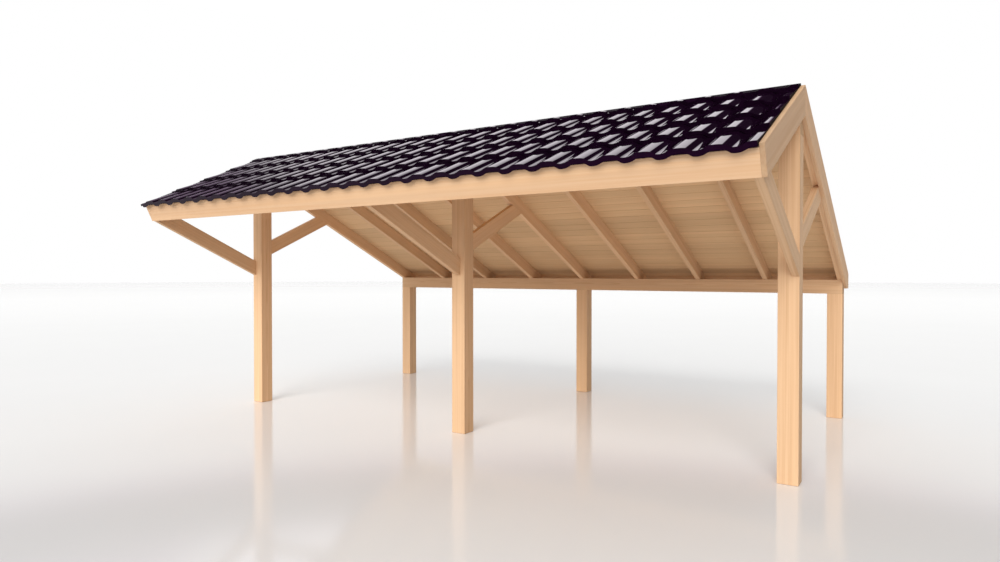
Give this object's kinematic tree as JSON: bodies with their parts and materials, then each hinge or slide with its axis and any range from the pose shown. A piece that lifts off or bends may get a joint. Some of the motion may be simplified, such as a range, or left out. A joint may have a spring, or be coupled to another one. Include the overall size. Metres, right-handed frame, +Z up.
{
  "type": "open pole barn with an asymmetric tiled roof",
  "caption": "Open timber pole barn: front and rear rows of square posts, slanted braces, rafters and boards under an asymmetric pitched roof of glazed pantiles.",
  "frame": {"origin": "on the ground, at the middle of the building's whole outline in plan", "axes": "+X along the ridge to the right as seen from the open front, +Y from the open front to the low back, +Z up"},
  "size_m": [8.292, 5.9754, 3.9376],
  "materials": {
    "timber_frame": "planed softwood, satin",
    "trim_boards": "planed softwood, satin",
    "roof_boards": "planed tongue and groove boards, satin",
    "glazed_tiles": "glossy glaze"
  },
  "bodies": {
    "root": {"post_front_left": "timber_frame", "post_front_middle": "timber_frame", "post_front_right": "timber_frame", "post_rear_left": "timber_frame", "post_rear_middle": "timber_frame", "post_rear_right": "timber_frame", "ridge_beam": "timber_frame", "rear_beam": "timber_frame", "brace_front_left": "timber_frame", "brace_front_middle": "timber_frame", "brace_front_right": "timber_frame", "brace_rear_left": "timber_frame", "brace_rear_middle": "timber_frame", "brace_rear_right": "timber_frame", "rafter_front_1": "timber_frame", "rafter_front_2": "timber_frame", "rafter_front_3": "timber_frame", "rafter_front_4": "timber_frame", "rafter_front_5": "timber_frame", "rafter_front_6": "timber_frame", "rafter_front_7": "timber_frame", "rafter_front_8": "timber_frame", "rafter_front_9": "timber_frame", "rafter_rear_1": "timber_frame", "rafter_rear_2": "timber_frame", "rafter_rear_3": "timber_frame", "rafter_rear_4": "timber_frame", "rafter_rear_5": "timber_frame", "rafter_rear_6": "timber_frame", "rafter_rear_7": "timber_frame", "rafter_rear_8": "timber_frame", "rafter_rear_9": "timber_frame", "boards_front": "roof_boards", "boards_rear": "roof_boards", "fascia_front": "trim_boards", "fascia_rear": "trim_boards", "barge_right_front": "trim_boards", "barge_right_rear": "trim_boards", "barge_left_front": "trim_boards", "barge_left_rear": "trim_boards", "tiles_front": "glazed_tiles", "tiles_rear": "glazed_tiles"}
  },
  "joints": []
}
